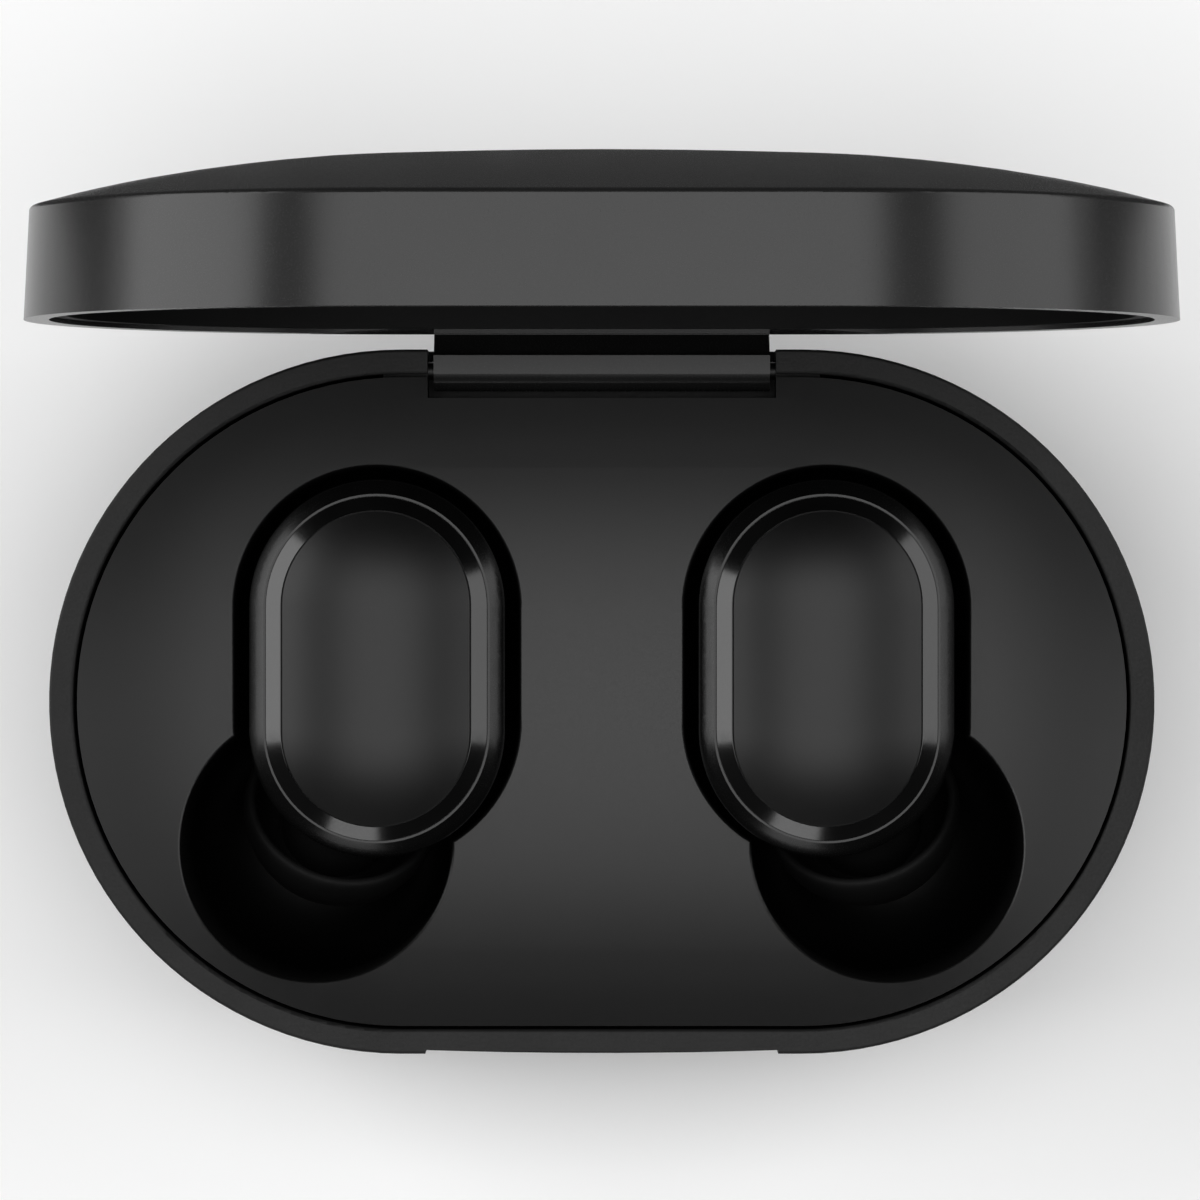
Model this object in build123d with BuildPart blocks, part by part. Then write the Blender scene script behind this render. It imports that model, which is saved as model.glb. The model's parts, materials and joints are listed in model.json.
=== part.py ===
from build123d import *

import math
import os

os.makedirs("parts", exist_ok=True)

# ---------------------------------------------------------------------------
# Wireless earbuds case. Units are millimetres.
# Frame: origin at the centre of the flat underside, +X to the right, -Y to the
# front (the opening edge), +Z up. The lid is modelled open at 90 degrees.
# ---------------------------------------------------------------------------

# Case envelope
case_length = 62.0
case_width = 39.5
end_radius = case_width / 2
spine = (case_length - case_width) / 2      # half distance between the end centres
seam_z = 18.1                               # top of the case rim
base_round = 7.0                            # rounding between underside and side wall
wall = 1.35
rim_round = 0.18
inner_radius = end_radius - wall

# Hinge
hinge_y = 18.6
hinge_z = 16.1
seam_gap = 0.1
open_rim_y = hinge_y + (seam_z + seam_gap - hinge_z)   # rim plane of the opened lid
lid_centre_z = hinge_z + hinge_y                       # centre of the opened lid
hinge_half = 9.45                                      # half width of the hinge block
notch_gap = 0.33
notch_half = hinge_half + notch_gap
notch_floor_z = 14.6
barrel_radius = 1.15
strip_height = 1.3                                     # flat of the hinge block over the axis
pin_radius = 0.5
pin_clearance = 0.03
pin_half = notch_half + 1.9
knuckle_end = pin_half + 0.6

# Lid
band_height = 6.0
band_draft = 0.3
dome_rise = 3.1
lid_inner_edge = 4.9
lid_inner_rise = 2.75
liner_gap = 0.1
liner_wall = 0.8
liner_recess = 0.25

# Inner tray
tray_radius = inner_radius - 0.2
tray_edge_z = seam_z - 0.35
dish_depth = 3.4
mouth_round = 0.2                           # rounding of the pocket mouths
tray_skin = 0.7
tray_skirt_z = 14.2
skirt_wall = 0.8
well_wall = 0.9
pocket_x = 12.7
pocket_radius = 8.0
pocket_rear_y = 5.2
pocket_front_y = -1.1
pocket_floor_z = 9.6
pocket_round = 3.0                          # rounding between pocket floor and wall
tip_well_x = 16.1
tip_well_y = -8.1
tip_well_radius = 7.6
tip_well_floor_z = 2.6
tip_well_round = 5.0

# Earbuds
bud_x = 12.65
bud_y = 1.85
bud_spine = 3.45
shoulder_radius = 7.2
shoulder_edge_z = 16.87                     # top of the upright side, where the shoulder starts
parting_z = 13.0
bud_bottom_z = 10.2
bud_lip_z = 17.5
lip_width = 0.12
cap_radius = 5.25
cap_spine = 3.55
cap_edge_z = 18.5
cap_crown = 1.15
cap_gap = 0.09
press_travel = 0.3
ring_radius = 6.2
ring_gap = 0.04
ring_land = 0.04                            # flat at the inner edge of the bevel
ring_inner = cap_radius + cap_gap
ring_base_z = 17.3
ring_top_z = 18.4
ring_low_z = 17.75
tip_point = (15.9, -9.1, 5.3)               # front end of the ear tip, right-hand bud
tip_lean = 38.0                             # degrees between the nozzle and the vertical
tip_heading = 19.0                          # degrees that the nozzle turns outwards in plan
nozzle_radius = 2.3
nozzle_bore = 1.7

# Electronics
floor_z = 1.3
board_z = 6.8
board_thickness = 0.8
board_top_z = board_z + board_thickness
contact_spread = 2.0
contact_y = 5.2
contact_z = bud_bottom_z - 0.05
magnet_y = 7.8
screw_x = 16.9
screw_y = 8.2
screw_radius = 0.7
screw_hole_depth = 4.2
usb_width = 7.5
usb_height = 2.6
usb_front_y = 19.3
usb_depth = 5.0
usb_z = board_top_z + 0.05
usb_mid_z = usb_z + usb_height / 2
led_x = 8.6

led_width = 1.2
led_depth = 0.7
led_height = 1.8
led_inset = 0.4                             # middle of the status light, in from the board's rear edge
pipe_radius = 0.6
charge_tip_radius = 0.45
charge_base_radius = 0.75
charge_step_z = 9.55
contact_radius = 0.9
close_gap = 0.02                            # running gap between parts that all but touch
loose_gap = 0.05
past = 1.0                                  # how far a cutting shape runs past the body it cuts

sides = {"left": -1, "right": 1}


# ---------------------------------------------------------------------------
# Helpers
# ---------------------------------------------------------------------------
def turned_slot(profile, half_spine, place=Plane.XY):
    """Turn a (radius, height) profile about both ends of a spine and run it straight between them."""
    with BuildPart() as form:
        for end in (-half_spine, half_spine):
            with BuildSketch(Plane.XZ.shift_origin((end, 0, 0))):
                add(profile)
            revolve(axis=Axis((end, 0, 0), (0, 0, 1)))
        with BuildSketch(Plane.YZ):
            add(profile)
            mirror(about=Plane.YZ)
        extrude(amount=half_spine, both=True)
    return form.part.moved(place.location)


def crown_profile(radius, edge_height, rise):
    """Section of a block whose top arches from edge_height at the rim to edge_height + rise."""
    with BuildSketch() as section:
        with BuildLine():
            Polyline((0, edge_height + rise), (0, 0), (radius, 0), (radius, edge_height))
            TangentArc((0, edge_height + rise), (radius, edge_height), tangent=(1, 0))
        make_face()
    return section.sketch


def slot_prism(radius, half_spine, low, high, place=Plane.XY, bottom_round=0):
    """Stadium (or round) prism between two heights of a plane, its lower edge rounded if asked."""
    with BuildPart() as prism:
        with BuildSketch(Plane.XY.offset(low)):
            if half_spine:
                SlotCenterToCenter(2 * half_spine, 2 * radius)
            else:
                Circle(radius)
        extrude(amount=high - low)
        if bottom_round:
            fillet(prism.faces().sort_by(Axis.Z)[0].edges(), radius=bottom_round)
    return prism.part.moved(place.location)


def bud_plane(side):
    """Plane over one earbud's centre, its long axis along Y."""
    return Plane(origin=(side * bud_x, bud_y, 0), x_dir=(0, 1, 0), z_dir=(0, 0, 1))


def nozzle_plane(side):
    """Plane at the front end of an ear tip, its normal pointing back up the nozzle."""
    flat = math.sin(math.radians(tip_lean))
    back = (
        -side * flat * math.sin(math.radians(tip_heading)),
        flat * math.cos(math.radians(tip_heading)),
        math.cos(math.radians(tip_lean)),
    )
    return Plane(origin=(side * tip_point[0], tip_point[1], tip_point[2]), x_dir=(1, 0, 0), z_dir=back)


def write(name, solid):
    """Label one sub-part and write it as its own STEP file."""
    solid.label = name
    export_step(solid, "parts/" + name + ".step")


# Lid plane: the rim of the opened lid. Its x runs along X, its y points down and its normal to the rear.
lid_plane = Plane(origin=(0, open_rim_y, lid_centre_z), x_dir=(1, 0, 0), z_dir=(0, 1, 0))


# ---------------------------------------------------------------------------
# Case: outer shell with hinge notch, thumb recess, port and screw bosses
# ---------------------------------------------------------------------------
knuckle_radius = 0.95
knuckle_bite = 0.4
knuckle_slope = 0.1
shelf_front_y = 16.4
shelf_thickness = 0.8
thumb_half = 9.9
thumb_end_depth = 0.22
thumb_mid_depth = 0.05
thumb_height = 5.2
port_clearance = 0.25
boss_radius = 1.5
ledge_low_z = 12.4
ledge_high_z = 13.4
ledge_half = 6.0
ledge_reach = 2.6
ledge_bite = 0.1
notch_reach = 1.5                           # how far the notch runs in from the inner wall
port_corner = 0.9

with BuildPart() as case_shell:
    add(slot_prism(end_radius, spine, 0, seam_z, bottom_round=base_round))
    add(
        slot_prism(inner_radius, spine, floor_z, seam_z, bottom_round=base_round - wall),
        mode=Mode.SUBTRACT,
    )
    fillet(case_shell.faces().sort_by(Axis.Z)[-1].edges(), radius=rim_round)
    # Knuckles that hold the ends of the hinge pin, round in front and above
    for end in (-1, 1):
        with BuildSketch(Plane.YZ.offset(end * (notch_half + knuckle_end) / 2)):
            with BuildLine():
                ThreePointArc(
                    (hinge_y, hinge_z - knuckle_radius),
                    (hinge_y - knuckle_radius, hinge_z),
                    (hinge_y, hinge_z + knuckle_radius),
                )
                Polyline(
                    (hinge_y, hinge_z + knuckle_radius),
                    (inner_radius + knuckle_bite, hinge_z + knuckle_radius - knuckle_slope),
                    (inner_radius + knuckle_bite, hinge_z - knuckle_radius),
                    (hinge_y, hinge_z - knuckle_radius),
                )
            make_face()
        extrude(amount=(knuckle_end - notch_half) / 2, both=True)
    # Notch for the lid's hinge block
    with BuildSketch(Plane.XZ.offset(notch_reach - inner_radius)):
        with Locations((0, (notch_floor_z + seam_z + past) / 2)):
            Rectangle(2 * notch_half, seam_z + past - notch_floor_z)
    extrude(amount=-(notch_reach + wall + past), mode=Mode.SUBTRACT)
    # Shelf under the hinge block, closing the case behind the tray
    with BuildSketch(Plane.XY.offset(notch_floor_z)):
        with Locations((0, (shelf_front_y + inner_radius + knuckle_bite) / 2)):
            Rectangle(2 * notch_half, inner_radius + knuckle_bite - shelf_front_y)
    extrude(amount=-shelf_thickness)
    # Pin hole across both knuckles
    with BuildSketch(Plane.YZ):
        with Locations((hinge_y, hinge_z)):
            Circle(pin_radius + pin_clearance)
    extrude(amount=pin_half + 2 * loose_gap, both=True, mode=Mode.SUBTRACT)
    # Shallow thumb recess in the front wall, its floor bowed outwards
    with BuildSketch(Plane.XY.offset(seam_z - thumb_height)):
        with BuildLine():
            ThreePointArc(
                (-thumb_half, thumb_end_depth - end_radius),
                (0, thumb_mid_depth - end_radius),
                (thumb_half, thumb_end_depth - end_radius),
            )
            Polyline(
                (thumb_half, thumb_end_depth - end_radius),
                (thumb_half, -end_radius - past),
                (-thumb_half, -end_radius - past),
                (-thumb_half, thumb_end_depth - end_radius),
            )
        make_face()
    extrude(amount=thumb_height + past, mode=Mode.SUBTRACT)
    # Opening for the charging socket, and the hole of the light pipe beside it
    with BuildSketch(Plane.XZ.offset(past - inner_radius)):
        with Locations((0, usb_mid_z)):
            RectangleRounded(usb_width + 2 * port_clearance, usb_height + 2 * port_clearance, port_corner)
        with Locations((led_x, usb_mid_z)):
            Circle(pipe_radius + close_gap)
    extrude(amount=-(wall + 2 * past), mode=Mode.SUBTRACT)
    # Screw bosses of the main board
    with BuildSketch(Plane.XY.offset(floor_z)):
        with Locations((-screw_x, screw_y), (screw_x, screw_y)):
            Circle(boss_radius)
    extrude(amount=board_z - floor_z)
    with BuildSketch(Plane.XY.offset(board_z)):
        with Locations((-screw_x, screw_y), (screw_x, screw_y)):
            Circle(screw_radius + close_gap)
    extrude(amount=-screw_hole_depth, mode=Mode.SUBTRACT)
    # Ledge under the front rim that carries the latch magnets
    with BuildSketch(Plane.XY.offset(ledge_low_z)):
        with Locations((0, ledge_reach / 2 - inner_radius - ledge_bite)):
            Rectangle(2 * ledge_half, ledge_reach + 2 * ledge_bite)
    extrude(amount=ledge_high_z - ledge_low_z)
write("case_shell", case_shell.part)


# ---------------------------------------------------------------------------
# Case: dished inner tray with the earbud pockets
# ---------------------------------------------------------------------------
dish_lift = 1.0
dish_plane = Plane(origin=(0, 0, tray_edge_z + dish_lift), x_dir=(1, 0, 0), z_dir=(0, 0, -1))
dish_cut = turned_slot(crown_profile(tray_radius, dish_lift, dish_depth), spine, dish_plane)
under_cut = slot_prism(tray_radius - skirt_wall, spine, tray_skirt_z - past, tray_edge_z - tray_skin)
under_form = turned_slot(
    crown_profile(tray_radius, dish_lift + tray_skin, dish_depth), spine, dish_plane
)
under_cut = under_cut - under_form
tray_notch_y = hinge_y - strip_height - 0.25
tray_notch_depth = 4.0
knuckle_front_y = hinge_y - 1.5             # front of the cut over the pin knuckles
side_gap = 0.2
charge_hole_radius = 0.8
knuckle_skirt_z = 17.02                     # underside of the tray over the pin knuckles
ledge_skirt_z = 15.4                        # underside of the front skirt over the magnet ledge
dish_face_area = 20.0                       # least area of a face of the dish
dish_face_normal = 0.9                      # least upward part of such a face's normal
rim_margin = 0.5
mouth_rear_y = pocket_rear_y + pocket_radius + 1
seam_tolerance = 0.01


def pocket_form(side, grow):
    """Stadium pocket joined with the deeper round well, both grown outwards by a wall."""
    pocket = Plane(
        origin=(side * pocket_x, (pocket_rear_y + pocket_front_y) / 2, 0), x_dir=(0, 1, 0), z_dir=(0, 0, 1)
    )
    half = (pocket_rear_y - pocket_front_y) / 2
    upper = slot_prism(
        pocket_radius + grow, half, pocket_floor_z - grow, tray_edge_z, pocket, pocket_round + grow
    )
    well = Plane(origin=(side * tip_well_x, tip_well_y, 0))
    lower = slot_prism(
        tip_well_radius + grow, 0, tip_well_floor_z - grow, tray_edge_z, well, tip_well_round + grow
    )
    return upper + lower


def on_dish_seam(edge):
    """Whether an edge lies on the line where the round ends of the dish join its straight middle."""
    return all(abs(abs((edge @ part).X) - spine) < seam_tolerance for part in (0, 0.5, 1))


def rim_distance(edge):
    """Distance of an edge's middle from the spine of the case, seen from above."""
    middle = edge @ 0.5
    return math.hypot(max(abs(middle.X) - spine, 0), middle.Y)


with BuildPart() as inner_tray:
    add(slot_prism(tray_radius, spine, tray_skirt_z, tray_edge_z))
    add(dish_cut, mode=Mode.SUBTRACT)
    add(under_cut, mode=Mode.SUBTRACT)
    # Outside of the earbud pockets and of the round wells for the ear tips
    for side in sides.values():
        add(pocket_form(side, well_wall) - dish_cut)
    # Inside of the pockets
    for side in sides.values():
        add(pocket_form(side, 0), mode=Mode.SUBTRACT)
        # Holes for the charging pins
        with BuildSketch(Plane.XY.offset(pocket_floor_z - well_wall - loose_gap)):
            with Locations((side * bud_x, contact_y)):
                with Locations((-contact_spread, 0), (contact_spread, 0)):
                    Circle(charge_hole_radius)
        extrude(amount=well_wall + 2 * loose_gap, mode=Mode.SUBTRACT)
    # Rear edge cut back for the hinge block, and the skirt cut away over the pin knuckles
    with BuildSketch(Plane.XY.offset(tray_skirt_z - past)):
        with Locations((0, tray_notch_y + tray_notch_depth / 2)):
            Rectangle(2 * notch_half, tray_notch_depth)
    extrude(amount=seam_z + past - tray_skirt_z, mode=Mode.SUBTRACT)
    with BuildSketch(Plane.XY.offset(tray_skirt_z - past)):
        with Locations((0, knuckle_front_y + tray_notch_depth / 2)):
            Rectangle(2 * (knuckle_end + side_gap), tray_notch_depth)
    extrude(amount=knuckle_skirt_z + past - tray_skirt_z, mode=Mode.SUBTRACT)
    # Front skirt cut away over the magnet ledge
    with BuildSketch(Plane.XY.offset(tray_skirt_z - past)):
        with Locations((0, -inner_radius)):
            Rectangle(2 * (ledge_half + side_gap), 2 * ledge_reach)
    extrude(amount=ledge_skirt_z + past - tray_skirt_z, mode=Mode.SUBTRACT)
    # Rounded pocket mouths: every edge of the dish but its own seams, its rim and the rear notch
    dish_faces = [
        face
        for face in inner_tray.faces()
        if face.area > dish_face_area
        and face.normal_at().Z > dish_face_normal
        and face.center().Z > tray_edge_z - dish_depth - mouth_round
    ]
    mouth_edges = [
        edge
        for face in dish_faces
        for edge in face.edges()
        if not on_dish_seam(edge)
        and rim_distance(edge) < tray_radius - rim_margin
        and (edge @ 0.5).Y < mouth_rear_y
    ]
    fillet(ShapeList(mouth_edges), radius=mouth_round)
write("inner_tray", inner_tray.part)


# ---------------------------------------------------------------------------
# Hinge pin
# ---------------------------------------------------------------------------
pin_chamfer = 0.12
with BuildPart() as hinge_pin:
    with BuildSketch(Plane.YZ):
        with Locations((hinge_y, hinge_z)):
            Circle(pin_radius)
    extrude(amount=pin_half, both=True)
    chamfer(hinge_pin.edges().filter_by(GeomType.CIRCLE), length=pin_chamfer)
write("hinge_pin", hinge_pin.part)


# ---------------------------------------------------------------------------
# Lid: drafted band, domed top and hinge block in one moulding
# ---------------------------------------------------------------------------
dome_reach_x = case_length / 2 + 1
dome_reach_y = end_radius + 1
dome_steps = 24
dome_tolerance = 0.002
dome_cut = 8.0                              # thickness of the body cut away over the dome
crease_radius = end_radius - band_draft
dome_flattening = 0.12
dome_period = 44.0


def dome_height(x, y):
    """Height of the domed top over the rim plane: an arch round the spine, a little lower to the ends."""
    beyond = max(abs(x) - spine, 0)
    distance = math.hypot(beyond, y)
    arch = 1 - (distance / crease_radius) ** 2
    ends = 1 - dome_flattening * math.sin(math.pi * x / dome_period) ** 2
    return band_height + dome_rise * arch * ends


dome_points = [
    [
        lid_plane.from_local_coords(Vector(x, y, dome_height(x, y)))
        for x in (dome_reach_x * (2 * i / dome_steps - 1) for i in range(dome_steps + 1))
    ]
    for y in (dome_reach_y * (2 * j / dome_steps - 1) for j in range(dome_steps + 1))
]
dome_face = Face.make_surface_from_array_of_points(dome_points, tol=dome_tolerance)

lid_magnet_x = 4.0
lid_magnet_width = 4.0
lid_magnet_height = 3.0
lid_magnet_depth = 1.0
lid_magnet_base = 1.1
strip_angle = 10.0                          # degrees in front of the pin at which the strip stands
strip_front_y = hinge_y - barrel_radius * math.sin(math.radians(strip_angle))
barrel_top_z = hinge_z + barrel_radius * math.cos(math.radians(strip_angle))
strip_rear_y = hinge_y + 0.85
strip_edge = 0.5
web_low_z = 15.45
web_gap = 0.02
web_bite = 0.3
cove_radius = 2.38                          # swing of the case's rear edge, and some clearance
cove_end = 17.0
cove_end_radius = 2.12
crease_round = 0.3

with BuildPart() as lid_shell:
    with BuildSketch(lid_plane):
        SlotOverall(case_length, case_width)
    extrude(
        amount=band_height + dome_rise + past,
        taper=math.degrees(math.atan2(band_draft, band_height)),
    )
    extrude(dome_face, amount=dome_cut, dir=(0, 1, 0), mode=Mode.SUBTRACT)
    add(
        turned_slot(crown_profile(inner_radius, lid_inner_edge, lid_inner_rise), spine, lid_plane),
        mode=Mode.SUBTRACT,
    )
    # Hinge block: a barrel round the pin, a flat strip above it and a web sloping down to the lid wall
    with BuildSketch(Plane.YZ):
        with BuildLine():
            ThreePointArc(
                (hinge_y, hinge_z - barrel_radius),
                (hinge_y - barrel_radius, hinge_z),
                (strip_front_y, barrel_top_z),
            )
            Polyline(
                (strip_front_y, barrel_top_z),
                (strip_front_y, hinge_z + strip_height),
                (strip_rear_y, hinge_z + strip_height),
                (strip_rear_y, hinge_z + strip_height - strip_edge),
                (open_rim_y - web_gap, web_low_z),
                (open_rim_y + web_bite, web_low_z),
                (open_rim_y + web_bite, hinge_z - barrel_radius),
                (hinge_y, hinge_z - barrel_radius),
            )
        make_face()
    extrude(amount=hinge_half, both=True)
    with BuildSketch(Plane.YZ):
        with Locations((hinge_y, hinge_z)):
            Circle(pin_radius + pin_clearance)
    extrude(amount=hinge_half + past, both=True, mode=Mode.SUBTRACT)
    # Cove in the rear rim beside the hinge block, turned about the pin, that clears the edge of the case
    with BuildSketch(Plane.XY.offset(hinge_z)):
        for end in (-1, 1):
            with BuildLine():
                Polyline(
                    (end * hinge_half, hinge_y),
                    (end * hinge_half, hinge_y + cove_radius),
                    (end * spine, hinge_y + cove_radius),
                    (end * cove_end, hinge_y + cove_end_radius),
                    (end * cove_end, hinge_y),
                    close=True,
                )
            make_face()
    revolve(axis=Axis((0, hinge_y, hinge_z), (1, 0, 0)), mode=Mode.SUBTRACT)
    # Soft crease between band and dome
    fillet(lid_shell.faces().filter_by(GeomType.BSPLINE).edges(), radius=crease_round)
    # Recesses for the lid magnets, inside the front wall
    with BuildSketch(lid_plane.offset(lid_magnet_base - loose_gap)):
        with Locations((-lid_magnet_x, -inner_radius), (lid_magnet_x, -inner_radius)):
            Rectangle(lid_magnet_width + 2 * loose_gap, 2 * (lid_magnet_depth + loose_gap))
    extrude(amount=lid_magnet_height + 2 * loose_gap, mode=Mode.SUBTRACT)
write("lid_shell", lid_shell.part)

with BuildPart() as lid_liner:
    liner_radius = inner_radius - liner_gap
    add(
        turned_slot(
            crown_profile(liner_radius, lid_inner_edge - liner_gap, lid_inner_rise), spine, lid_plane
        )
    )
    add(
        turned_slot(
            crown_profile(liner_radius - liner_wall, lid_inner_edge - liner_gap - liner_wall, lid_inner_rise),
            spine,
            lid_plane,
        ),
        mode=Mode.SUBTRACT,
    )
    add(slot_prism(end_radius, spine, -past, liner_recess, lid_plane), mode=Mode.SUBTRACT)
write("lid_liner", lid_liner.part)

with BuildPart() as lid_magnets:
    with BuildSketch(lid_plane.offset(lid_magnet_base)):
        with Locations((-lid_magnet_x, -inner_radius), (lid_magnet_x, -inner_radius)):
            with Locations((0, -lid_magnet_depth / 2)):
                Rectangle(lid_magnet_width, lid_magnet_depth)
    extrude(amount=lid_magnet_height)
write("lid_magnets", lid_magnets.part)


# ---------------------------------------------------------------------------
# Inside of the case: latch magnets, battery, board and charging parts
# ---------------------------------------------------------------------------
latch_magnet_size = 1.8
latch_magnet_width = 3.8
latch_magnet_y = -17.3
with BuildPart() as latch_magnets:
    with BuildSketch(Plane.XY.offset(ledge_high_z)):
        with Locations((-lid_magnet_x, latch_magnet_y), (lid_magnet_x, latch_magnet_y)):
            Rectangle(latch_magnet_width, latch_magnet_size)
    extrude(amount=latch_magnet_size)
write("latch_magnets", latch_magnets.part)

battery_length = 29.0
battery_width = 11.4
battery_height = 4.7
battery_y = 7.0
battery_corner = 1.2
battery_round = 0.7
pad_height = 0.4
pad_inset = 2.0                             # how far the pad stays inside the battery's outline
pad_corner = 0.8
with BuildPart() as case_battery:
    with BuildSketch(Plane.XY.offset(floor_z + pad_height + 2 * close_gap)):
        with Locations((0, battery_y)):
            RectangleRounded(battery_length, battery_width, battery_corner)
    extrude(amount=battery_height)
    fillet(case_battery.edges().group_by(Axis.Z)[-1], radius=battery_round)
    fillet(case_battery.edges().group_by(Axis.Z)[0], radius=battery_round)
write("case_battery", case_battery.part)

with BuildPart() as battery_pad:
    with BuildSketch(Plane.XY.offset(floor_z + close_gap)):
        with Locations((0, battery_y)):
            RectangleRounded(battery_length - 2 * pad_inset, battery_width - 2 * pad_inset, pad_corner)
    extrude(amount=pad_height)
write("battery_pad", battery_pad.part)

lead_radius = 0.3
lead_low_z = 5.3
lead_out = 1.1
lead_bend = 0.6
lead_start = battery_length / 2 + close_gap
with BuildPart() as battery_leads:
    for lead_y in (3.2, 4.4):
        with BuildLine(Plane.XZ.offset(-lead_y)) as lead_path:
            FilletPolyline(
                (lead_start, lead_low_z),
                (battery_length / 2 + lead_out, lead_low_z),
                (battery_length / 2 + lead_out, board_z - close_gap),
                radius=lead_bend,
            )
        with BuildSketch(Plane.YZ.offset(lead_start)):
            with Locations((lead_y, lead_low_z)):
                Circle(lead_radius)
        sweep(path=lead_path.wires()[0])
write("battery_leads", battery_leads.part)

board_half = 18.6
board_front_y = 2.0
board_rear_y = 14.2
board_corner = 1.0
tongue_half = 5.0
tongue_rear_y = 17.8
with BuildPart() as main_board:
    with BuildSketch(Plane.XY.offset(board_z)):
        with Locations((0, (board_front_y + board_rear_y) / 2)):
            RectangleRounded(2 * board_half, board_rear_y - board_front_y, board_corner)
        with Locations((0, (board_rear_y + tongue_rear_y) / 2 - board_corner)):
            Rectangle(2 * tongue_half, tongue_rear_y - board_rear_y + 2 * board_corner)
        with Locations((-screw_x, screw_y), (screw_x, screw_y)):
            Circle(screw_radius + loose_gap, mode=Mode.SUBTRACT)
    extrude(amount=board_thickness)
write("main_board", main_board.part)

# Charger, controller and hall sensor: position, width, length and height of each
chip_sizes = ((11.6, 3.0, 3.0, 0.8), (7.2, 4.0, 4.0, 0.9), (3.6, 2.5, 2.2, 1.2))
with BuildPart() as board_chips:
    for chip_y, chip_width, chip_length, chip_height in chip_sizes:
        with BuildSketch(Plane.XY.offset(board_top_z)):
            with Locations((0, chip_y)):
                Rectangle(chip_width, chip_length)
        extrude(amount=chip_height)
write("board_chips", board_chips.part)

screw_head_radius = 1.2
screw_head_height = 0.7
cross_length = 1.3
cross_width = 0.3
cross_depth = 0.35
screw_tip_gap = 0.6                         # free depth of the boss hole under the screw
with BuildPart() as board_screws:
    with BuildSketch(Plane.XY.offset(board_top_z)):
        with Locations((-screw_x, screw_y), (screw_x, screw_y)):
            Circle(screw_head_radius)
    extrude(amount=screw_head_height)
    with BuildSketch(Plane.XY.offset(board_top_z)):
        with Locations((-screw_x, screw_y), (screw_x, screw_y)):
            Circle(screw_radius)
    extrude(amount=-(board_thickness + screw_hole_depth - screw_tip_gap))
    with BuildSketch(Plane.XY.offset(board_top_z + screw_head_height)):
        with Locations((-screw_x, screw_y), (screw_x, screw_y)):
            Rectangle(cross_length, cross_width)
            Rectangle(cross_width, cross_length)
    extrude(amount=-cross_depth, mode=Mode.SUBTRACT)
write("board_screws", board_screws.part)

usb_corner = 0.7
usb_skin = 0.3
usb_back = 0.6
usb_inner_corner = 0.5
with BuildPart() as usb_socket:
    with BuildSketch(Plane.XZ.offset(-usb_front_y)):
        with Locations((0, usb_mid_z)):
            RectangleRounded(usb_width, usb_height, usb_corner)
    extrude(amount=usb_depth)
    with BuildSketch(Plane.XZ.offset(-usb_front_y)):
        with Locations((0, usb_mid_z)):
            RectangleRounded(usb_width - 2 * usb_skin, usb_height - 2 * usb_skin, usb_inner_corner)
    extrude(amount=usb_depth - usb_back, mode=Mode.SUBTRACT)
write("usb_socket", usb_socket.part)

usb_tongue_width = 4.6
usb_tongue_thickness = 0.6
usb_tongue_setback = 0.7
usb_tongue_lift = 0.25                      # height of the tongue over the middle of the socket
with BuildPart() as usb_tongue:
    with BuildSketch(Plane.XZ.offset(usb_tongue_setback - usb_front_y)):
        with Locations((0, usb_mid_z + usb_tongue_lift)):
            Rectangle(usb_tongue_width, usb_tongue_thickness)
    extrude(amount=usb_depth - usb_back - usb_tongue_setback)
write("usb_tongue", usb_tongue.part)

with BuildPart() as status_led:
    with BuildSketch(Plane.XY.offset(board_top_z)):
        with Locations((led_x, board_rear_y - led_inset)):
            Rectangle(led_width, led_depth)
    extrude(amount=led_height)
write("status_led", status_led.part)

with BuildPart() as led_light_pipe:
    with BuildSketch(Plane.XZ.offset(loose_gap - end_radius)):
        with Locations((led_x, usb_mid_z)):
            Circle(pipe_radius)
    extrude(amount=end_radius - board_rear_y - 2 * loose_gap)
write("led_light_pipe", led_light_pipe.part)

tray_magnet_radius = 2.0
tray_magnet_height = 0.9
tray_magnet_gap = 0.15
charge_steps = (
    (charge_base_radius, board_top_z, charge_step_z),
    (charge_tip_radius, charge_step_z, contact_z - close_gap),
)
for hand, side in sides.items():
    with BuildPart() as charge_pins:
        for radius, low_z, high_z in charge_steps:
            with BuildSketch(Plane.XY.offset(low_z)):
                with Locations((side * bud_x, contact_y)):
                    with Locations((-contact_spread, 0), (contact_spread, 0)):
                        Circle(radius)
            extrude(amount=high_z - low_z)
    write("charge_pins_" + hand, charge_pins.part)

    with BuildPart() as tray_magnet:
        with BuildSketch(Plane.XY.offset(board_top_z + tray_magnet_gap)):
            with Locations((side * bud_x, magnet_y)):
                Circle(tray_magnet_radius)
        extrude(amount=tray_magnet_height)
    write("tray_magnet_" + hand, tray_magnet.part)


# ---------------------------------------------------------------------------
# Earbuds
# ---------------------------------------------------------------------------
shell_inner = 6.2
bowl_top_z = parting_z - 2 * loose_gap
bowl_floor_z = 11.0
bowl_inner = 5.6
bowl_flat = 5.0                             # half width of the flat underside
bowl_side = 2.0                             # width of its quarter-oval side
bowl_corner = 1.2
spigot_low = 0.3                            # rim of the inner housing inside the outer one
spigot_high = 0.6
ledge_z = 16.75                             # seat of the trim ring in the outer housing
ledge_thickness = 0.65
flange_radius = 5.7
flange_low_z = 16.95
flange_high_z = 17.25
cap_ceiling_z = 17.6
cap_inner = 4.6
press_pad_radius = 1.0
press_pad_height = 0.15
bud_board_z = 14.6
bud_board_top_z = 15.2
bud_board_radius = 5.9
bud_board_inset = 0.15
bud_chip_offset = 4.5
bud_chip_size = 4.0
bud_chip_height = 0.8
switch_length = 3.0
switch_width = 2.6
switch_height = 1.0
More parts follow.
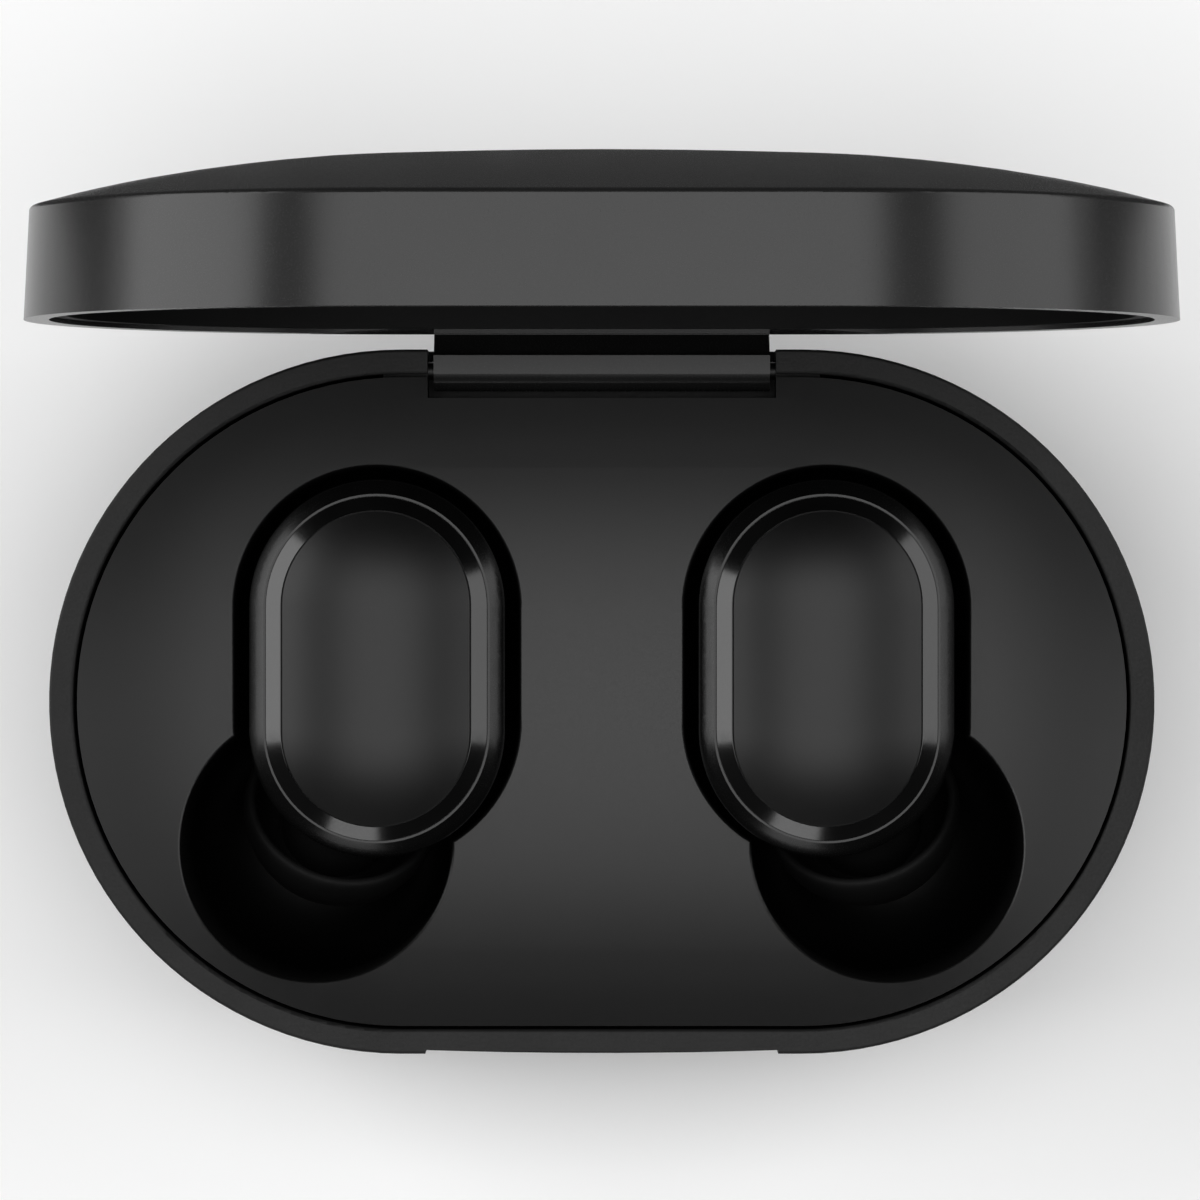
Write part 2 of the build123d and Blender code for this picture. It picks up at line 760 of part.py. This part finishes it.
plunger_radius = 0.6
driver_offset = 3.9
driver_radius = 3.9
driver_step = 0.7
driver_low_z = 11.4
driver_rim_z = 11.7
driver_high_z = 13.8
cell_offset = 4.1
cell_radius = 3.9
cell_low_z = 11.5
cell_height = 2.8
cell_chamfer = 0.3
plunger_top_z = cap_ceiling_z - press_pad_height - press_travel - loose_gap
bud_magnet_radius = 1.4
bud_magnet_height = 0.4
nozzle_end = 1.3
nozzle_far = 8.0
flare_near = 6.2                            # stretch in which the nozzle widens into the housing
flare_far = 8.6
flare_near_step = 0.2
flare_far_step = 1.5
mesh_radius = 2.0
mesh_thickness = 0.15
mesh_seat_depth = 0.2
lip_end = 1.95
lip_radius = 2.6
side_draw = 0.2
shoulder_round = 0.35
shoulder_slope = 0.9                        # rise over run of the shoulder at the lip
lip_outer = ring_radius + ring_gap + lip_width


def shoulder_profile():
    """Section of the outer housing: nearly upright below, a sloping shoulder up to the thin lip."""
    with BuildSketch() as section:
        with BuildLine():
            Polyline(
                (0, bud_lip_z),
                (0, parting_z),
                (shoulder_radius - side_draw, parting_z),
                (shoulder_radius, shoulder_edge_z - shoulder_round),
            )
            Spline(
                (shoulder_radius, shoulder_edge_z - shoulder_round),
                (shoulder_radius - 0.4 * shoulder_round, shoulder_edge_z),
                (lip_outer, bud_lip_z),
                tangents=((0, 1), (-1, shoulder_slope)),
            )
            Line((lip_outer, bud_lip_z), (0, bud_lip_z))
        make_face()
    return section.sketch


def bowl_profile():
    """Section of the inner housing: flat underside and a quarter-oval side."""
    with BuildSketch() as section:
        with BuildLine():
            Polyline(
                (bowl_flat, bud_bottom_z),
                (0, bud_bottom_z),
                (0, bowl_top_z),
                (bowl_flat + bowl_side, bowl_top_z),
            )
            EllipticalCenterArc(
                (bowl_flat, bowl_top_z), bowl_side, bowl_top_z - bud_bottom_z, start_angle=270, arc_size=90
            )
        make_face()
    return section.sketch


def bevel_profile():
    """Section of the trim ring blank, its top falling outwards."""
    with BuildSketch() as section:
        with BuildLine():
            Polyline(
                (0, ring_base_z),
                (ring_radius, ring_base_z),
                (ring_radius, ring_low_z),
                (ring_inner + ring_land, ring_top_z),
                (0, ring_top_z),
                close=True,
            )
        make_face()
    return section.sketch


# Ear tip section: (radius, height over the tip's front end) of the points that shape it
tip_bore_end = (1.75, 1.25)
tip_bore_front = (1.75, 0.3)
tip_nose = (2.1, 0.0)
umbrella_outer = (4.35, 1.35)
umbrella_side = (5.6, 4.6)
umbrella_hem = (5.3, 5.35)
umbrella_inside = (4.95, 4.9)
umbrella_inner = (4.2, 2.7)
umbrella_root = (3.3, 1.95)
tip_core_radius = 3.0
tip_core_low = 2.3
tip_core_high = 5.5
hem_up = (0.05, 1)
hem_down = (-0.1, -1)
root_inwards = (-1, -0.2)


def tip_profile():
    """Section of the ear tip: a core that grips the nozzle and a thin umbrella folded back over it."""
    with BuildSketch() as section:
        with BuildLine():
            Line(tip_bore_end, tip_bore_front)
            Line(tip_bore_front, tip_nose)
            Spline(tip_nose, umbrella_outer, umbrella_side, tangents=((1, 0), hem_up))
            Spline(umbrella_side, umbrella_hem, umbrella_inside, tangents=(hem_up, hem_down))
            Spline(umbrella_inside, umbrella_inner, umbrella_root, tangents=(hem_down, root_inwards))
            Polyline(
                umbrella_root,
                (tip_core_radius, tip_core_low),
                (tip_core_radius, tip_core_high),
                (nozzle_radius + loose_gap, tip_core_high),
                (nozzle_radius + loose_gap, lip_end + loose_gap),
                (lip_radius + loose_gap, lip_end + loose_gap),
                (lip_radius + loose_gap, tip_bore_end[1]),
                tip_bore_end,
            )
        make_face()
    return section.sketch


for hand, side in sides.items():
    bud = bud_plane(side)
    nozzle = nozzle_plane(side)
    nozzle_section = Plane(origin=nozzle.origin, x_dir=nozzle.x_dir, z_dir=-nozzle.y_dir)
    bowl_space = slot_prism(bowl_inner, bud_spine, bowl_floor_z, bowl_top_z + past, bud, bowl_corner)

    with BuildPart() as bud_outer_shell:
        add(turned_slot(shoulder_profile(), bud_spine, bud))
        add(
            slot_prism(shell_inner, bud_spine, parting_z - past, ledge_z - ledge_thickness, bud),
            mode=Mode.SUBTRACT,
        )
        add(
            slot_prism(flange_radius + loose_gap, bud_spine, parting_z, ledge_z + loose_gap, bud),
            mode=Mode.SUBTRACT,
        )
        add(
            slot_prism(ring_radius + ring_gap, bud_spine, ledge_z, bud_lip_z + past, bud),
            mode=Mode.SUBTRACT,
        )
    write("bud_outer_shell_" + hand, bud_outer_shell.part)

    with BuildPart() as bud_inner_shell:
        add(turned_slot(bowl_profile(), bud_spine, bud))
        for radius, far in ((nozzle_radius, nozzle_far), (lip_radius, lip_end)):
            with BuildSketch(nozzle.offset(nozzle_end)):
                Circle(radius)
            extrude(amount=far - nozzle_end)
        with BuildSketch(nozzle.offset(flare_near)):
            Circle(nozzle_radius + flare_near_step)
        with BuildSketch(nozzle.offset(flare_far)):
            Circle(nozzle_radius + flare_far_step)
        loft()
        add(
            slot_prism(pocket_radius + past, bud_spine, bowl_top_z, tray_edge_z, bud),
            mode=Mode.SUBTRACT,
        )
        add(
            slot_prism(
                shell_inner - 2 * loose_gap,
                bud_spine,
                bowl_top_z - spigot_low,
                bowl_top_z + spigot_high,
                bud,
            )
        )
        add(bowl_space, mode=Mode.SUBTRACT)
        with BuildSketch(nozzle):
            Circle(nozzle_bore)
        extrude(amount=nozzle_far, mode=Mode.SUBTRACT)
        with BuildSketch(nozzle.offset(nozzle_end)):
            Circle(mesh_radius + loose_gap)
        extrude(amount=mesh_seat_depth, mode=Mode.SUBTRACT)
        with BuildSketch(Plane.XY.offset(bud_bottom_z - loose_gap)):
            with Locations((side * bud_x, contact_y)):
                with Locations((-contact_spread, 0), (contact_spread, 0)):
                    Circle(contact_radius + close_gap)
        extrude(amount=bowl_floor_z - bud_bottom_z + 2 * loose_gap, mode=Mode.SUBTRACT)
    write("bud_inner_shell_" + hand, bud_inner_shell.part)

    with BuildPart() as trim_ring:
        add(turned_slot(bevel_profile(), bud_spine, bud))
        add(
            slot_prism(ring_inner, cap_spine, ring_base_z - past, ring_top_z + past, bud),
            mode=Mode.SUBTRACT,
        )
    write("bud_trim_ring_" + hand, trim_ring.part)

    with BuildPart() as button_cap:
        cap_base = bud.offset(flange_low_z)
        add(turned_slot(crown_profile(cap_radius, cap_edge_z - flange_low_z, cap_crown), cap_spine, cap_base))
        add(slot_prism(flange_radius, bud_spine, flange_low_z, flange_high_z, bud))
        add(slot_prism(cap_inner, cap_spine, flange_low_z - past, cap_ceiling_z, bud), mode=Mode.SUBTRACT)
        with BuildSketch(Plane.XY.offset(cap_ceiling_z)):
            with Locations((side * bud_x, bud_y)):
                Circle(press_pad_radius)
        extrude(amount=-press_pad_height)
    write("button_cap_" + hand, button_cap.part)

    with BuildPart() as ear_tip:
        with BuildSketch(nozzle_section):
            add(tip_profile())
        revolve(axis=Axis(nozzle.origin, nozzle.z_dir))
    write("ear_tip_" + hand, ear_tip.part)

    with BuildPart() as nozzle_mesh:
        with BuildSketch(nozzle.offset(nozzle_end + close_gap)):
            Circle(mesh_radius)
        extrude(amount=mesh_thickness)
    write("nozzle_mesh_" + hand, nozzle_mesh.part)

    with BuildPart() as bud_driver:
        with BuildSketch(Plane.XY.offset(driver_low_z)):
            with Locations((side * bud_x, bud_y - driver_offset)):
                Circle(driver_radius - driver_step)
        extrude(amount=driver_rim_z - driver_low_z)
        with BuildSketch(Plane.XY.offset(driver_rim_z)):
            with Locations((side * bud_x, bud_y - driver_offset)):
                Circle(driver_radius)
        extrude(amount=driver_high_z - driver_rim_z)
    write("bud_driver_" + hand, bud_driver.part)

    with BuildPart() as bud_cell:
        with BuildSketch(Plane.XY.offset(cell_low_z)):
            with Locations((side * bud_x, bud_y + cell_offset)):
                Circle(cell_radius)
        extrude(amount=cell_height)
        chamfer(bud_cell.edges().filter_by(GeomType.CIRCLE), length=cell_chamfer)
    write("bud_cell_" + hand, bud_cell.part)

    with BuildPart() as bud_board:
        add(slot_prism(bud_board_radius, bud_spine - bud_board_inset, bud_board_z, bud_board_top_z, bud))
    write("bud_board_" + hand, bud_board.part)

    with BuildPart() as bud_chip:
        with BuildSketch(Plane.XY.offset(bud_board_top_z)):
            with Locations((side * bud_x, bud_y + bud_chip_offset)):
                Rectangle(bud_chip_size, bud_chip_size)
        extrude(amount=bud_chip_height)
    write("bud_chip_" + hand, bud_chip.part)

    with BuildPart() as bud_switch:
        with BuildSketch(Plane.XY.offset(bud_board_top_z)):
            with Locations((side * bud_x, bud_y)):
                Rectangle(switch_length, switch_width)
        extrude(amount=switch_height)
        with BuildSketch(Plane.XY.offset(bud_board_top_z + switch_height)):
            with Locations((side * bud_x, bud_y)):
                Circle(plunger_radius)
        extrude(amount=plunger_top_z - bud_board_top_z - switch_height)
    write("bud_switch_" + hand, bud_switch.part)

    with BuildPart() as bud_contacts:
        with BuildSketch(Plane.XY.offset(contact_z)):
            with Locations((side * bud_x, contact_y)):
                with Locations((-contact_spread, 0), (contact_spread, 0)):
                    Circle(contact_radius)
        extrude(amount=bowl_floor_z - contact_z)
    write("bud_contacts_" + hand, bud_contacts.part)

    with BuildPart() as bud_magnet:
        with BuildSketch(Plane.XY.offset(bowl_floor_z + close_gap)):
            with Locations((side * bud_x, magnet_y)):
                Circle(bud_magnet_radius)
        extrude(amount=bud_magnet_height)
    write("bud_magnet_" + hand, bud_magnet.part)
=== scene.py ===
import json
import math

import bmesh
import bpy
from mathutils import Matrix, Vector


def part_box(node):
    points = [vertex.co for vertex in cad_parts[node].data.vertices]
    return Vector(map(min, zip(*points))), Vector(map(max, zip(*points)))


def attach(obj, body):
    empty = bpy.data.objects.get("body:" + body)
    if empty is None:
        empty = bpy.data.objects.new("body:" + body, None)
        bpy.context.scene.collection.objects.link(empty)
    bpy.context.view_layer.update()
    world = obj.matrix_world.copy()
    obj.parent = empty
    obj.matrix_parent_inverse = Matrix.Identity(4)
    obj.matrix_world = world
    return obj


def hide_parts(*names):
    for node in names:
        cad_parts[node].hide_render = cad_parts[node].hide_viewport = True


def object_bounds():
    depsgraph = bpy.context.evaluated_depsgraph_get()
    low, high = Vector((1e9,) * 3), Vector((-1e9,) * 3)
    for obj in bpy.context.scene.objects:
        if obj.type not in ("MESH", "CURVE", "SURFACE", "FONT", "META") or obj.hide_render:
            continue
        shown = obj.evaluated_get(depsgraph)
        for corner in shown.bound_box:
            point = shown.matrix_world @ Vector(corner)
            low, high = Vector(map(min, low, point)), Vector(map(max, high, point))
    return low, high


MM = 0.001
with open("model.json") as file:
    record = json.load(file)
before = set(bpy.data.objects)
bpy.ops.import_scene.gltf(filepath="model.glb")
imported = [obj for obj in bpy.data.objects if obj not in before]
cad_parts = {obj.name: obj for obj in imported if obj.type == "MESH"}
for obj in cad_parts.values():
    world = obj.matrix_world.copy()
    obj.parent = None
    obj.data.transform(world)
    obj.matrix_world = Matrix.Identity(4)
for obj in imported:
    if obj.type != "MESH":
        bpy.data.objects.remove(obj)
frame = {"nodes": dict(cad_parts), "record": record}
cad_low, cad_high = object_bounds()


# ---------------------------------------------------------------------------
# Measures
# ---------------------------------------------------------------------------
seam_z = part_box("case_shell")[1].z              # top of the case rim
nozzle_lean = math.radians(38.0)                # between an earbud's nozzle and the vertical
nozzle_heading = math.radians(19.0)             # how far it turns outwards in plan


# ---------------------------------------------------------------------------
# Materials
# ---------------------------------------------------------------------------
def grey(level):
    """A colour without hue."""
    return (level, level, level)


def add_node(tree, kind, **settings):
    """One shader node, with its sockets or properties set by name."""
    node = tree.nodes.new(kind)
    for name, value in settings.items():
        if name in node.inputs:
            node.inputs[name].default_value = value
        else:
            setattr(node, name, value)
    return node


def noise(tree, coords, cell, detail=3.0, rough=0.5):
    """Noise whose cells measure about the given size in metres."""
    node = add_node(tree, "ShaderNodeTexNoise", Scale=1.0 / cell, Detail=detail, Roughness=rough)
    tree.links.new(coords.outputs["Object"], node.inputs["Vector"])
    return node


def moulded(
    name, colour, roughness, spread=0.05, grain=0.12, relief=0.004, cloud=4.0, tint=0.25,
    specular=0.5, coat=0.0, metallic=0.0,
):
    """A moulded or metal surface: tinted clouds, uneven roughness and a fine grain in relief.

    grain, relief and cloud are in millimetres: the size and depth of the grain, the size of the clouds.
    """
    coat_roughness = 0.06
    noise_low, noise_high = 0.3, 0.7
    material = bpy.data.materials.new(name)
    material.use_nodes = True
    tree = material.node_tree
    shader = tree.nodes["Principled BSDF"]
    shader.inputs["Specular IOR Level"].default_value = specular
    shader.inputs["Metallic"].default_value = metallic
    shader.inputs["Coat Weight"].default_value = coat
    shader.inputs["Coat Roughness"].default_value = coat_roughness
    coords = add_node(tree, "ShaderNodeTexCoord")
    clouds = noise(tree, coords, cloud * MM)
    ramp = add_node(tree, "ShaderNodeValToRGB")
    ramp.color_ramp.elements[0].position = noise_low
    ramp.color_ramp.elements[1].position = noise_high
    ramp.color_ramp.elements[0].color = [c * (1 - tint) for c in colour] + [1.0]
    ramp.color_ramp.elements[1].color = [c * (1 + tint) for c in colour] + [1.0]
    tree.links.new(clouds.outputs["Fac"], ramp.inputs["Fac"])
    tree.links.new(ramp.outputs["Color"], shader.inputs["Base Color"])
    grains = noise(tree, coords, grain * MM, detail=2.0)
    uneven = add_node(tree, "ShaderNodeMapRange")
    uneven.inputs["From Min"].default_value = noise_low
    uneven.inputs["From Max"].default_value = noise_high
    uneven.inputs["To Min"].default_value = roughness - spread
    uneven.inputs["To Max"].default_value = roughness + spread
    tree.links.new(grains.outputs["Fac"], uneven.inputs["Value"])
    tree.links.new(uneven.outputs["Result"], shader.inputs["Roughness"])
    bump = add_node(tree, "ShaderNodeBump", Strength=1.0, Distance=relief * MM)
    tree.links.new(grains.outputs["Fac"], bump.inputs["Height"])
    tree.links.new(bump.outputs["Normal"], shader.inputs["Normal"])
    return material


MATERIALS = {
    "case_plastic": moulded(
        "case_textured_black", grey(0.0065), 0.58, grain=0.16, relief=0.014, specular=0.28
    ),
    "lid_plastic": moulded(
        "lid_satin_black", grey(0.009), 0.25, spread=0.03, grain=0.06, relief=0.0001, tint=0.1, specular=0.38
    ),
    "tray_plastic": moulded(
        "tray_satin_black", grey(0.001), 0.35, grain=0.06, relief=0.0003, specular=0.39
    ),
    "liner_plastic": moulded(
        "liner_matte_black", grey(0.002), 0.60, grain=0.12, relief=0.002, specular=0.15
    ),
    "bud_plastic": moulded(
        "bud_satin_black", grey(0.002), 0.24, grain=0.06, relief=0.0003, specular=0.36
    ),
    "button_plastic": moulded(
        "button_satin_black", grey(0.002), 0.40, grain=0.06, relief=0.0003, specular=0.34
    ),
    "trim_gloss": moulded(
        "trim_polished_black", grey(0.003), 0.16, spread=0.02, relief=0.0001, specular=0.5
    ),
    "silicone": moulded("silicone_black", grey(0.004), 0.66, grain=0.25, relief=0.002, specular=0.15),
    "pin_steel": moulded("blackened_steel", grey(0.05), 0.45, tint=0.1, relief=0.001, metallic=1.0),
    "screw_steel": moulded("screw_steel", (0.42, 0.42, 0.43), 0.30, tint=0.1, relief=0.001, metallic=1.0),
    "socket_steel": moulded("socket_steel", (0.50, 0.50, 0.51), 0.28, tint=0.1, relief=0.001, metallic=1.0),
    "socket_tongue": moulded("socket_tongue_black", grey(0.02), 0.5),
    "mesh_steel": moulded("mesh_steel", (0.30, 0.30, 0.31), 0.35, tint=0.1, relief=0.001, metallic=1.0),
    "driver_metal": moulded("driver_can", (0.55, 0.54, 0.50), 0.30, tint=0.08, relief=0.001, metallic=1.0),
    "cell_steel": moulded("cell_can", grey(0.60), 0.25, tint=0.06, relief=0.001, metallic=1.0),
    "switch_metal": moulded("switch_dome_steel", (0.58, 0.57, 0.54), 0.25, tint=0.06, metallic=1.0),
    "contact_gold": moulded("contact_gold", (0.80, 0.56, 0.22), 0.22, tint=0.08, relief=0.0006, metallic=1.0),
    "magnet_nickel": moulded("magnet_nickel", (0.62, 0.60, 0.56), 0.20, tint=0.06, metallic=1.0),
    "cell_wrap": moulded("cell_wrap", (0.10, 0.11, 0.13), 0.35, cloud=6.0, relief=0.004),
    "foam": moulded("foam_black", grey(0.02), 0.9, grain=0.4, relief=0.06, specular=0.2),
    "lead_insulation": moulded("lead_insulation", (0.35, 0.02, 0.02), 0.40, relief=0.002),
    "circuit_board": moulded("circuit_board", (0.010, 0.060, 0.030), 0.32, cloud=1.2, tint=0.5, coat=0.3),
    "chip_black": moulded("chip_black", grey(0.02), 0.55, relief=0.003),
    "led_body": moulded("led_body", (0.75, 0.72, 0.60), 0.35, tint=0.1),
    "clear_pipe": moulded("light_pipe_milky", grey(0.55), 0.20, tint=0.06, relief=0.0006),
}

for part in frame["record"]["subparts"]:
    node = frame["nodes"][part["node"]]
    for index in range(len(node.material_slots)):
        node.material_slots[index].material = MATERIALS[part["material_slot"]]


# ---------------------------------------------------------------------------
# Pieces with finer detail than the frame's own solids
# ---------------------------------------------------------------------------
def make_piece(name, shape, slot, body):
    """Turn a bmesh into an object of a material slot that rides on a body."""
    mesh = bpy.data.meshes.new(name)
    shape.to_mesh(mesh)
    shape.free()
    mesh.materials.append(MATERIALS[slot])
    piece = bpy.data.objects.new(name, mesh)
    bpy.context.scene.collection.objects.link(piece)
    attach(piece, body)
    return piece


def add_tube(shape, points, radius, across, closed=False, sides=6):
    """Add a tube along points to a bmesh; across is a direction that the points never run along."""
    rings = []
    count = len(points)
    for index, point in enumerate(points):
        if closed:
            before, after = points[index - 1], points[(index + 1) % count]
        else:
            before, after = points[max(index - 1, 0)], points[min(index + 1, count - 1)]
        along = (after - before).normalized()
        first = along.cross(across).normalized()
        second = along.cross(first)
        ring = []
        for step in range(sides):
            turn = 2 * math.pi * step / sides
            ring.append(shape.verts.new(point + radius * (math.cos(turn) * first + math.sin(turn) * second)))
        rings.append(ring)
    for index in range(count if closed else count - 1):
        ring, following = rings[index], rings[(index + 1) % count]
        for step in range(sides):
            after = (step + 1) % sides
            face = shape.faces.new((ring[step], ring[after], following[after], following[step]))
            face.smooth = True
    if not closed:
        shape.faces.new(reversed(rings[0]))
        shape.faces.new(rings[-1])


def nozzle_axis(side):
    """Direction from the mouth of an earbud's nozzle back into the earbud."""
    across = math.sin(nozzle_lean)
    return Vector(
        (
            -side * across * math.sin(nozzle_heading),
            across * math.cos(nozzle_heading),
            math.cos(nozzle_lean),
        )
    )


def make_grille(hand, side):
    """Woven steel gauze across the mouth of an earbud's nozzle, with a rolled edge."""
    low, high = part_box("nozzle_mesh_" + hand)
    turned = nozzle_axis(side).to_track_quat("Z", "Y").to_matrix().to_4x4()
    place = Matrix.Translation((low + high) / 2) @ turned
    gauze_radius = 1.88 * MM
    pitch = 0.22 * MM
    wire = 0.035 * MM
    wave = 0.034 * MM                           # height by which a wire weaves over and under
    edge_wire = 0.065 * MM
    edge_steps = 48
    steps_per_pitch = 4
    up = Vector((0.0, 0.0, 1.0))
    shape = bmesh.new()
    wires = int(gauze_radius / pitch)
    for direction in (0, 1):
        for index in range(-wires, wires + 1):
            offset = index * pitch
            half = math.sqrt(gauze_radius ** 2 - offset ** 2)
            steps = max(int(half / (pitch / steps_per_pitch)), 2)
            points = []
            for step in range(-steps, steps + 1):
                run = half * step / steps
                phase = math.pi * (run / pitch + index + 0.5 + direction)
                height = wave * math.sin(phase)
                spot = (run, offset, height) if direction == 0 else (offset, run, height)
                points.append(Vector(spot))
            add_tube(shape, points, wire, up)
    edge = []
    for step in range(edge_steps):
        turn = 2 * math.pi * step / edge_steps
        edge.append(Vector((gauze_radius * math.cos(turn), gauze_radius * math.sin(turn), 0.0)))
    add_tube(shape, edge, edge_wire, up, closed=True, sides=8)
    bmesh.ops.recalc_face_normals(shape, faces=shape.faces)
    bmesh.ops.transform(shape, matrix=place, verts=shape.verts)
    grille = make_piece("nozzle_gauze_" + hand, shape, "mesh_steel", "bud_" + hand)
    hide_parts("nozzle_mesh_" + hand)


def make_socket_contacts():
    """Five sprung contact strips along the underside of the socket's tongue."""
    low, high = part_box("usb_tongue")
    strips = 5
    spacing = 0.65 * MM
    width = 0.30 * MM
    thickness = 0.06 * MM
    margin = 0.25 * MM                          # bare tongue in front of and behind each strip
    taper = 0.6                                 # width of a strip's rear end over its front end
    edge_round = 0.015 * MM
    shape = bmesh.new()
    for index in range(strips):
        centre_x = (index - (strips - 1) / 2) * spacing
        made = bmesh.ops.create_cube(shape, size=1.0)["verts"]
        length = high.y - low.y - 2 * margin
        bmesh.ops.scale(shape, vec=(width, length, thickness), verts=made)
        for vert in made:
            if vert.co.y > 0:
                vert.co.x *= taper
        middle = Vector((centre_x, (low.y + high.y) / 2, low.z - thickness / 2))
        bmesh.ops.translate(shape, vec=middle, verts=made)
    bmesh.ops.bevel(
        shape,
        geom=list(shape.edges),
        offset=edge_round,
        segments=2,
        profile=0.5,
        affect="EDGES",
        clamp_overlap=True,
    )
    make_piece("socket_contacts", shape, "contact_gold", "case")


for hand, side in (("left", -1), ("right", 1)):
    make_grille(hand, side)
make_socket_contacts()


# ---------------------------------------------------------------------------
# Floor, light and camera
# ---------------------------------------------------------------------------
def sheet(name, width, depth, position, material):
    """A flat rectangular sheet lying level."""
    mesh = bpy.data.meshes.new(name)
    shape = bmesh.new()
    bmesh.ops.create_grid(shape, x_segments=4, y_segments=4, size=0.5)
    bmesh.ops.scale(shape, vec=(width, depth, 1.0), verts=shape.verts)
    shape.to_mesh(mesh)
    shape.free()
    mesh.materials.append(material)
    flat = bpy.data.objects.new(name, mesh)
    bpy.context.scene.collection.objects.link(flat)
    flat.location = position
    return flat


def make_floor():
    """A wide plain pale floor under the case, and a dark flag that only the gloss of the lid sees: a painted
    dark reflection in the lid, standing in for shade on the floor behind it.
    """
    pale = moulded(
        "floor_pale", grey(0.96), 0.8, grain=2.0, relief=0.01, cloud=80.0, tint=0.01, specular=0.2
    )
    floor_size = 6.0
    floor_gap = 0.02 * MM
    sheet("floor", floor_size, floor_size, (0.0, 0.0, cad_low[2] - floor_gap), pale)
    # Dark sheet hidden from the camera, from diffuse light and from shadows: a painted dark reflection in the
    # lid's gloss, standing in for shade on the floor behind the lid.
    dark = moulded("flag_painted_dark_reflection", grey(0.10), 0.9, specular=0.0)
    flag_front = 34.0 * MM
    flag_width = 0.8
    flag_depth = 0.6
    flag_height = 1.0 * MM
    flag = sheet("rear_flag_painted_reflection", flag_width, flag_depth, (0.0, flag_front + flag_depth / 2, flag_height), dark)
    flag.visible_camera = False
    flag.visible_diffuse = False
    flag.visible_shadow = False
    flag.visible_transmission = False


def softbox(name, position, size, radiance, target=(0.0, 0.0, 0.02)):
    """A rectangular softbox aimed at a point, its strength given as radiance."""
    light = bpy.data.lights.new(name, "AREA")
    light.shape = "RECTANGLE"
    light.size, light.size_y = size
    light.energy = radiance * math.pi * size[0] * size[1]
    holder = bpy.data.objects.new(name, light)
    bpy.context.scene.collection.objects.link(holder)
    holder.location = position
    ahead = (Vector(target) - Vector(position)).normalized()
    straight_down = 0.99                        # a box this nearly overhead stays level
    if abs(ahead.z) < straight_down:
        holder.rotation_euler = ahead.to_track_quat("-Z", "Y").to_euler()


def make_lights():
    """An overhead softbox, a tall box on each side, weak panels between them, a low box in front."""
    softbox("overhead", (-0.005, 0.0, 0.47), (0.36, 0.375), 2.65)
    softbox("side_left", (-0.954, 0.274, 0.494), (0.98, 0.957), 3.5)
    softbox("side_right", (0.954, 0.274, 0.494), (0.98, 0.957), 2.3)
    softbox("fill_left", (-0.29, -0.02, 0.47), (0.17, 0.46), 0.35)
    softbox("fill_right", (0.29, -0.02, 0.47), (0.19, 0.46), 0.60)
    softbox("front_low", (-0.27, -1.0, 0.30), (0.50, 0.26), 3.2)
    room_light = 0.03
    world = bpy.data.worlds.new("studio")
    world.use_nodes = True
    background = world.node_tree.nodes["Background"]
    background.inputs["Color"].default_value = (1.0, 1.0, 1.0, 1.0)
    background.inputs["Strength"].default_value = room_light
    bpy.context.scene.world = world


def make_camera():
    """A long lens looking straight down on the rim of the case."""
    view_distance = 0.397
    view_width = 0.06727
    view_centre = (-0.1 * MM, 5.7 * MM)
    sensor = 36.0
    data = bpy.data.cameras.new("camera")
    data.sensor_width = sensor
    data.lens = sensor * view_distance / view_width
    data.clip_start = 0.01
    camera = bpy.data.objects.new("camera", data)
    bpy.context.scene.collection.objects.link(camera)
    camera.location = (*view_centre, seam_z + view_distance)
    bpy.context.scene.camera = camera


make_floor()
make_lights()
make_camera()
bpy.context.scene.view_settings.view_transform = "Standard"
